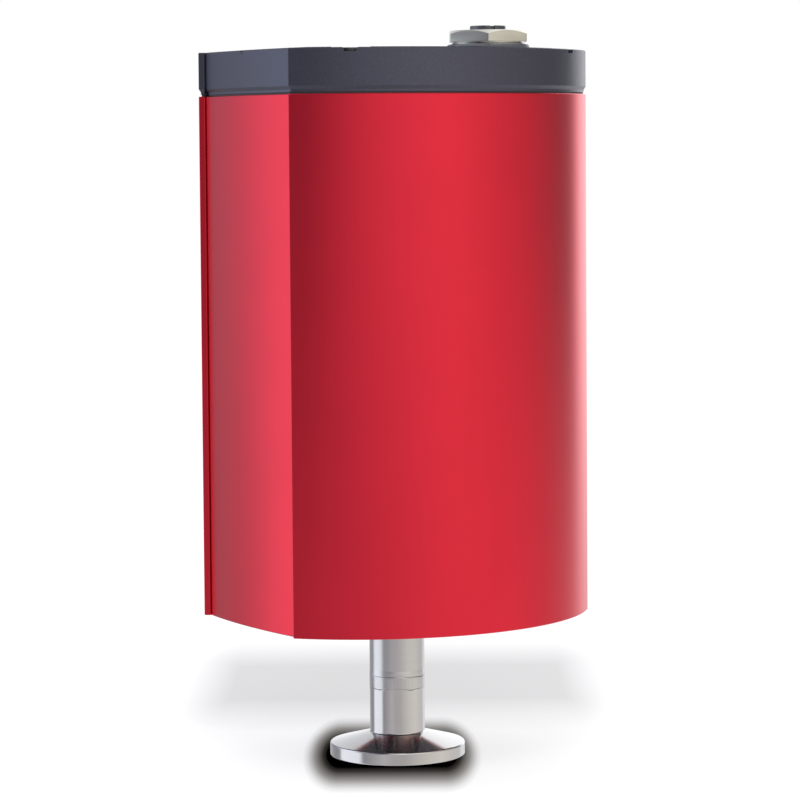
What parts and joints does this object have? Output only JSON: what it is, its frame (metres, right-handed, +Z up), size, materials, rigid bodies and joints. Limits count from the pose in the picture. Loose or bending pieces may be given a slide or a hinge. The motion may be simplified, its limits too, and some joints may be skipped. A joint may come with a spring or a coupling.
{
  "type": "capacitance diaphragm gauge",
  "caption": "Capacitance diaphragm gauge: upright housing with curved panels and bulged flanks, dark cap with a round cable connector, and a short steel tube to a small vacuum clamp flange.",
  "frame": {"origin": "centre of the flange's sealing face, where the gauge stands or is clamped", "axes": "+Z up the tube towards the cable connector; the front panel looks along -Y; the connector stands towards +X"},
  "size_m": [0.0752, 0.0746, 0.1619],
  "materials": {
    "red_anodised_aluminium": "satin red anodised extrusion",
    "dark_cap_coating": "fine-grained dark slate coating on a cast cover",
    "black_rubber": "black elastomer",
    "grey_seal_rubber": "slate-grey elastomer ring",
    "black_steel_screws": "blackened steel",
    "steel_screws": "plain steel fasteners and springs",
    "black_anodised_plate": "matt black anodised plate",
    "nickel_plated_brass": "satin nickel plating",
    "black_contact_plastic": "moulded contact carrier",
    "gold_contacts": "gold-plated contacts",
    "turned_stainless_steel": "fine-turned stainless steel with polished flange",
    "alumina_ceramic": "sintered alumina",
    "sealing_glass": "fused glass frit",
    "tinned_sheet": "tinned sheet and pins",
    "green_board": "glass-fibre board",
    "component_black": "moulded components",
    "flex_strip_amber": "flexible printed strip",
    "wire_insulation": "insulated wire"
  },
  "bodies": {
    "root": {"housing_shell": "red_anodised_aluminium", "top_cap": "dark_cap_coating", "cap_gasket": "black_rubber", "sensor_seal": "black_rubber", "connector_seal": "grey_seal_rubber", "cap_screws": "black_steel_screws", "bottom_screws": "steel_screws", "sensor_screws": "steel_screws", "board_screws": "steel_screws", "board_standoffs": "steel_screws", "disc_spring": "steel_screws", "retainer_ring": "steel_screws", "baffle_plate": "steel_screws", "bottom_plate": "black_anodised_plate", "connector_shell": "nickel_plated_brass", "connector_locknut": "nickel_plated_brass", "connector_insert": "black_contact_plastic", "connector_contacts": "gold_contacts", "port_flange": "turned_stainless_steel", "weld_bead": "turned_stainless_steel", "sensor_body": "turned_stainless_steel", "ceramic_front_ring": "alumina_ceramic", "ceramic_diaphragm": "alumina_ceramic", "ceramic_base": "alumina_ceramic", "diaphragm_lower_glass": "sealing_glass", "diaphragm_upper_glass": "sealing_glass", "shield_can": "tinned_sheet", "getter_cap": "tinned_sheet", "feedthrough_pins": "tinned_sheet", "sensor_board": "green_board", "main_board": "green_board", "sensor_board_parts": "component_black", "main_board_parts": "component_black", "board_link": "flex_strip_amber", "wire_loom": "wire_insulation"}
  },
  "joints": []
}
